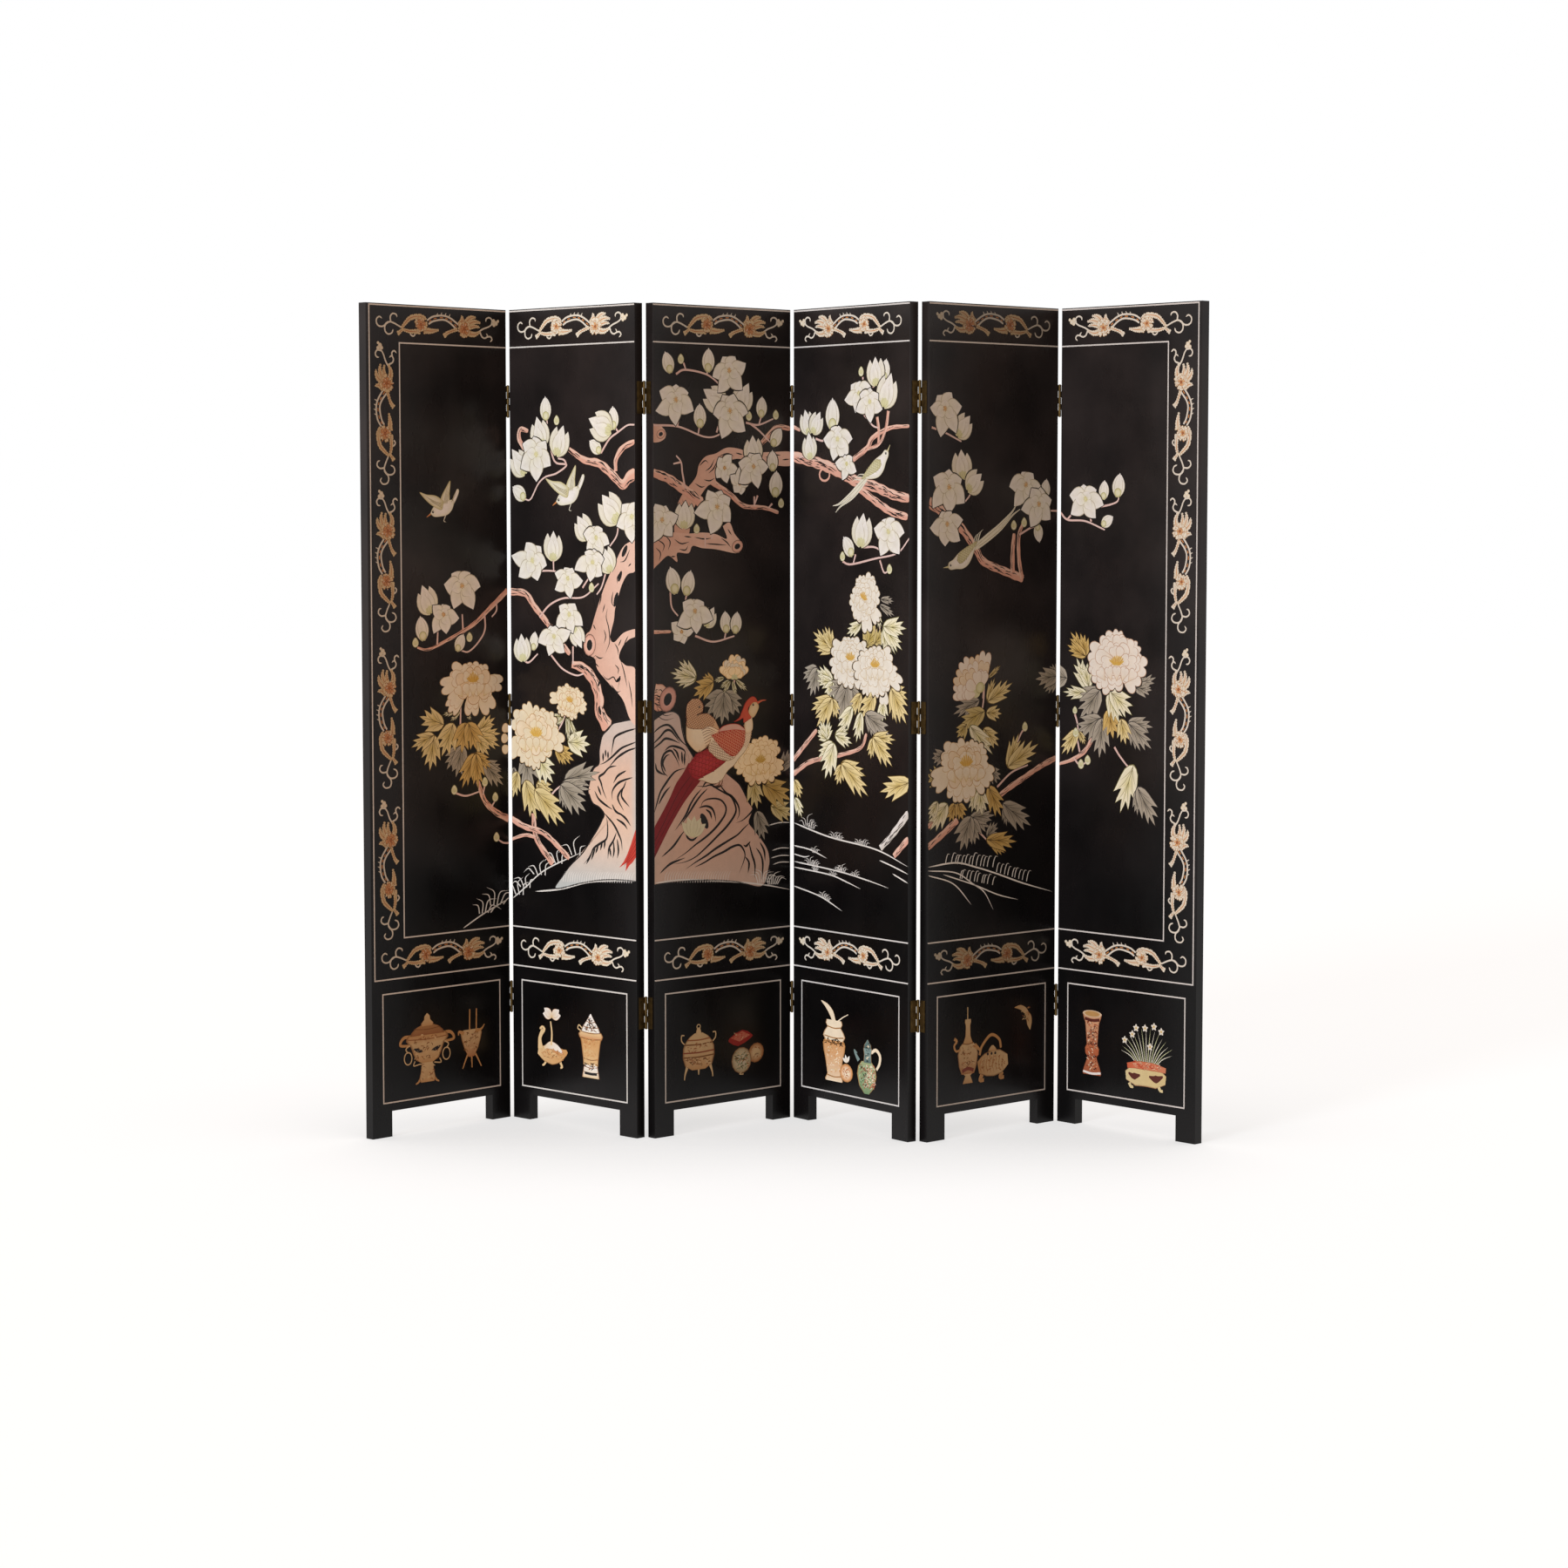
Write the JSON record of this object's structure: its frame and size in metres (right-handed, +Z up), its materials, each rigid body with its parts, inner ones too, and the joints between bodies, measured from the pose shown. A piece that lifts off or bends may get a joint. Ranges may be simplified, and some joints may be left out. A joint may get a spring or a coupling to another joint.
{
  "type": "folding screen",
  "caption": "Free-standing folding screen of hinged black lacquered leaves with incised, painted birds, flowers and borders; stands in a zigzag on its feet and folds flat.",
  "frame": {"origin": "on the floor, at the middle of the whole screen's bounding box in plan", "axes": "+Z up; the painted fronts face -Y; +X runs from leaf 1 on the viewer's left to leaf 6"},
  "size_m": [1.8342, 0.3692, 1.829],
  "materials": {
    "black_lacquer": "satin black lacquer over wood, with incised and painted artwork on the fronts",
    "frame_wood": "wood of the inner frame, blackened where its edges show",
    "aged_brass": "aged, dulled brass",
    "cream_paint": "matt painted fill, cream",
    "pink_paint": "matt painted fill, salmon",
    "leaf_paint": "matt painted fill, olive and grey-green",
    "red_paint": "matt painted fill, red and orange-brown"
  },
  "bodies": {
    "leaf_1": {"leaf_1_left_stile": "black_lacquer", "leaf_1_right_stile": "black_lacquer", "leaf_1_top_rail": "frame_wood", "leaf_1_middle_rail": "frame_wood", "leaf_1_bottom_rail": "frame_wood", "leaf_1_front_board": "black_lacquer", "leaf_1_back_board": "black_lacquer", "leaf_1_hinge_plates": "aged_brass", "leaf_1_hinge_screws": "aged_brass", "fold_1_hinge_pins": "aged_brass"},
    "leaf_2": {"leaf_2_left_stile": "black_lacquer", "leaf_2_right_stile": "black_lacquer", "leaf_2_top_rail": "frame_wood", "leaf_2_middle_rail": "frame_wood", "leaf_2_bottom_rail": "frame_wood", "leaf_2_front_board": "black_lacquer", "leaf_2_back_board": "black_lacquer", "leaf_2_hinge_plates": "aged_brass", "leaf_2_hinge_screws": "aged_brass", "fold_2_hinge_pins": "aged_brass"},
    "leaf_3": {"leaf_3_left_stile": "black_lacquer", "leaf_3_right_stile": "black_lacquer", "leaf_3_top_rail": "frame_wood", "leaf_3_middle_rail": "frame_wood", "leaf_3_bottom_rail": "frame_wood", "leaf_3_front_board": "black_lacquer", "leaf_3_back_board": "black_lacquer", "leaf_3_hinge_plates": "aged_brass", "leaf_3_hinge_screws": "aged_brass", "fold_3_hinge_pins": "aged_brass"},
    "leaf_4": {"leaf_4_left_stile": "black_lacquer", "leaf_4_right_stile": "black_lacquer", "leaf_4_top_rail": "frame_wood", "leaf_4_middle_rail": "frame_wood", "leaf_4_bottom_rail": "frame_wood", "leaf_4_front_board": "black_lacquer", "leaf_4_back_board": "black_lacquer", "leaf_4_hinge_plates": "aged_brass", "leaf_4_hinge_screws": "aged_brass", "fold_4_hinge_pins": "aged_brass"},
    "leaf_5": {"leaf_5_left_stile": "black_lacquer", "leaf_5_right_stile": "black_lacquer", "leaf_5_top_rail": "frame_wood", "leaf_5_middle_rail": "frame_wood", "leaf_5_bottom_rail": "frame_wood", "leaf_5_front_board": "black_lacquer", "leaf_5_back_board": "black_lacquer", "leaf_5_hinge_plates": "aged_brass", "leaf_5_hinge_screws": "aged_brass", "fold_5_hinge_pins": "aged_brass"},
    "leaf_6": {"leaf_6_left_stile": "black_lacquer", "leaf_6_right_stile": "black_lacquer", "leaf_6_top_rail": "frame_wood", "leaf_6_middle_rail": "frame_wood", "leaf_6_bottom_rail": "frame_wood", "leaf_6_front_board": "black_lacquer", "leaf_6_back_board": "black_lacquer", "leaf_6_hinge_plates": "aged_brass", "leaf_6_hinge_screws": "aged_brass"}
  },
  "joints": [
    {"name": "fold_1", "type": "hinge", "parent": "leaf_1", "child": "leaf_2", "pos_m": [-0.61737, 0.16906, 0.931], "axis": [0, 0, -1], "range_deg": [-90.2, 89.8]},
    {"name": "fold_2", "type": "hinge", "parent": "leaf_2", "child": "leaf_3", "pos_m": [-0.30028, -0.09661, 0.931], "axis": [0, 0, 1], "range_deg": [-86.3, 93.7]},
    {"name": "fold_3", "type": "hinge", "parent": "leaf_3", "child": "leaf_4", "pos_m": [0.02186, 0.16293, 0.931], "axis": [0, 0, -1], "range_deg": [-94.7, 85.3]},
    {"name": "fold_4", "type": "hinge", "parent": "leaf_4", "child": "leaf_5", "pos_m": [0.29674, -0.14622, 0.931], "axis": [0, 0, 1], "range_deg": [-94.6, 85.4]},
    {"name": "fold_5", "type": "hinge", "parent": "leaf_5", "child": "leaf_6", "pos_m": [0.61933, 0.11276, 0.931], "axis": [0, 0, -1], "range_deg": [-89.4, 90.6]}
  ]
}
